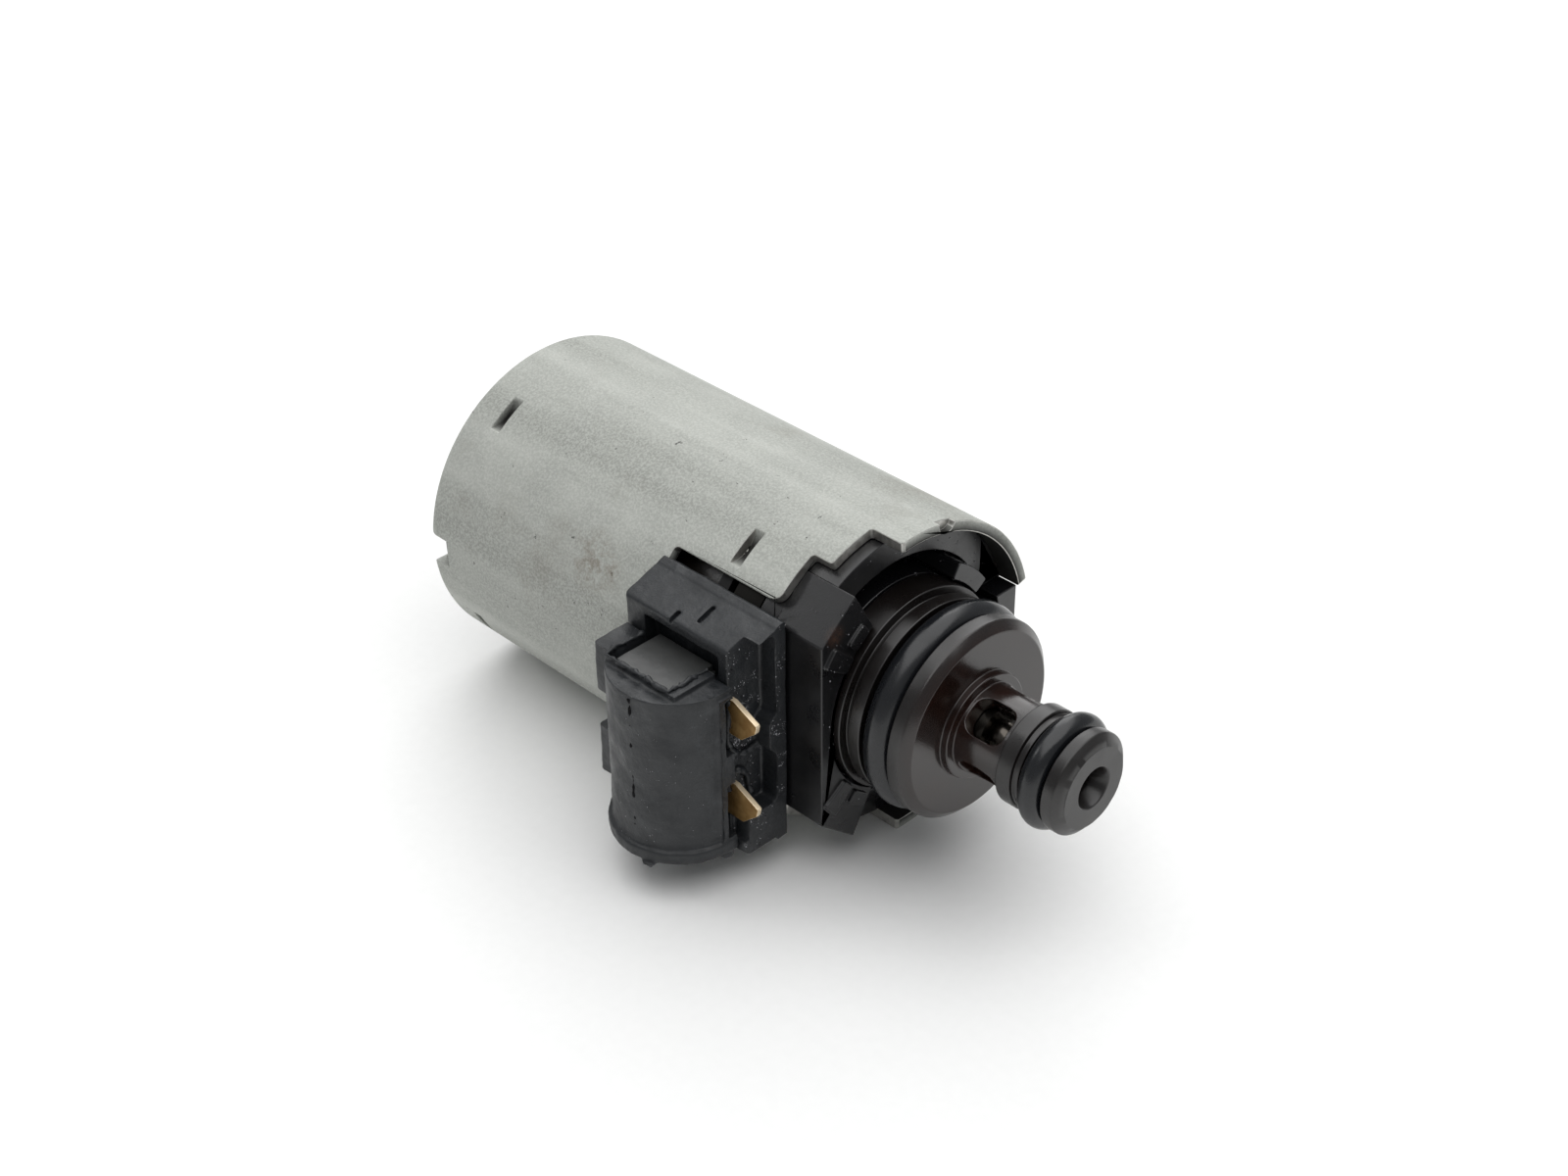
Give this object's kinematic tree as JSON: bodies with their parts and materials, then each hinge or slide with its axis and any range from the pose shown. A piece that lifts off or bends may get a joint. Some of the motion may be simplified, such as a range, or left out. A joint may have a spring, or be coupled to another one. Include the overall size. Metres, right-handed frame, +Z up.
{
  "type": "transmission shift solenoid",
  "caption": "Plug-in hydraulic shift solenoid: a windowed steel can, a side connector with brass blades, and a sealed moulded nose whose sprung armature moves a valve ball.",
  "frame": {"origin": "centre of the flat boss on the rear plate, level with the can's rear rim", "axes": "+X along the solenoid towards the tip of the nose, +Z up, connector on the -Y side"},
  "size_m": [0.0657, 0.038, 0.03],
  "materials": {
    "zinc_plated_steel": "matte zinc plating with fine speckle and oil smudges",
    "core_steel": "turned soft iron",
    "stainless_steel": "ground stainless steel",
    "spring_steel": "drawn spring wire",
    "bronze": "turned bronze",
    "spool_nylon": "glass filled nylon",
    "copper_wire": "enamelled copper wire",
    "winding_tape": "polyimide tape",
    "flange_nylon": "moulded nylon wet with oil",
    "nose_resin": "dark brown moulded resin wet with oil",
    "seal_rubber": "smooth oiled nitrile rubber",
    "seat_steel": "ground steel",
    "ball_steel": "polished bearing steel",
    "connector_nylon": "slate black nylon with an oily film",
    "diode_epoxy": "moulded epoxy",
    "terminal_brass": "stamped brass"
  },
  "bodies": {
    "housing": {"can_shell": "zinc_plated_steel", "rear_plate": "core_steel", "rear_bumper": "bronze", "guide_tube": "stainless_steel", "bobbin": "spool_nylon", "coil_winding": "copper_wire", "winding_tape": "winding_tape", "front_plate": "core_steel", "fixed_core": "core_steel", "pin_bush": "bronze", "shim_washer": "bronze", "return_spring": "spring_steel", "front_flange": "flange_nylon", "core_seal": "seal_rubber", "nose_body": "nose_resin", "large_o_ring": "seal_rubber", "small_o_ring": "seal_rubber", "exhaust_seat": "seat_steel", "supply_seat": "seat_steel", "connector_block": "connector_nylon", "connector_cap": "connector_nylon", "suppressor_lid": "connector_nylon", "diode": "diode_epoxy", "terminal_upper": "terminal_brass", "terminal_lower": "terminal_brass", "lead_upper": "copper_wire", "lead_lower": "copper_wire"},
    "armature": {"armature": "core_steel", "push_pin": "stainless_steel"},
    "ball": {"valve_ball": "ball_steel"}
  },
  "joints": [
    {"name": "armature_slide", "type": "slide", "parent": "housing", "child": "armature", "axis": [1, 0, 0], "range_m": [0, 0.0006], "stiffness_N_per_m": 1500, "springref_m": -0.0025, "deforming": ["return_spring"]},
    {"name": "ball_slide", "type": "slide", "parent": "housing", "child": "ball", "axis": [1, 0, 0], "range_m": [0, 0.0006]}
  ],
  "couplings": [
    {"joint": "ball_slide", "follows": "armature_slide", "ratio": 1}
  ]
}
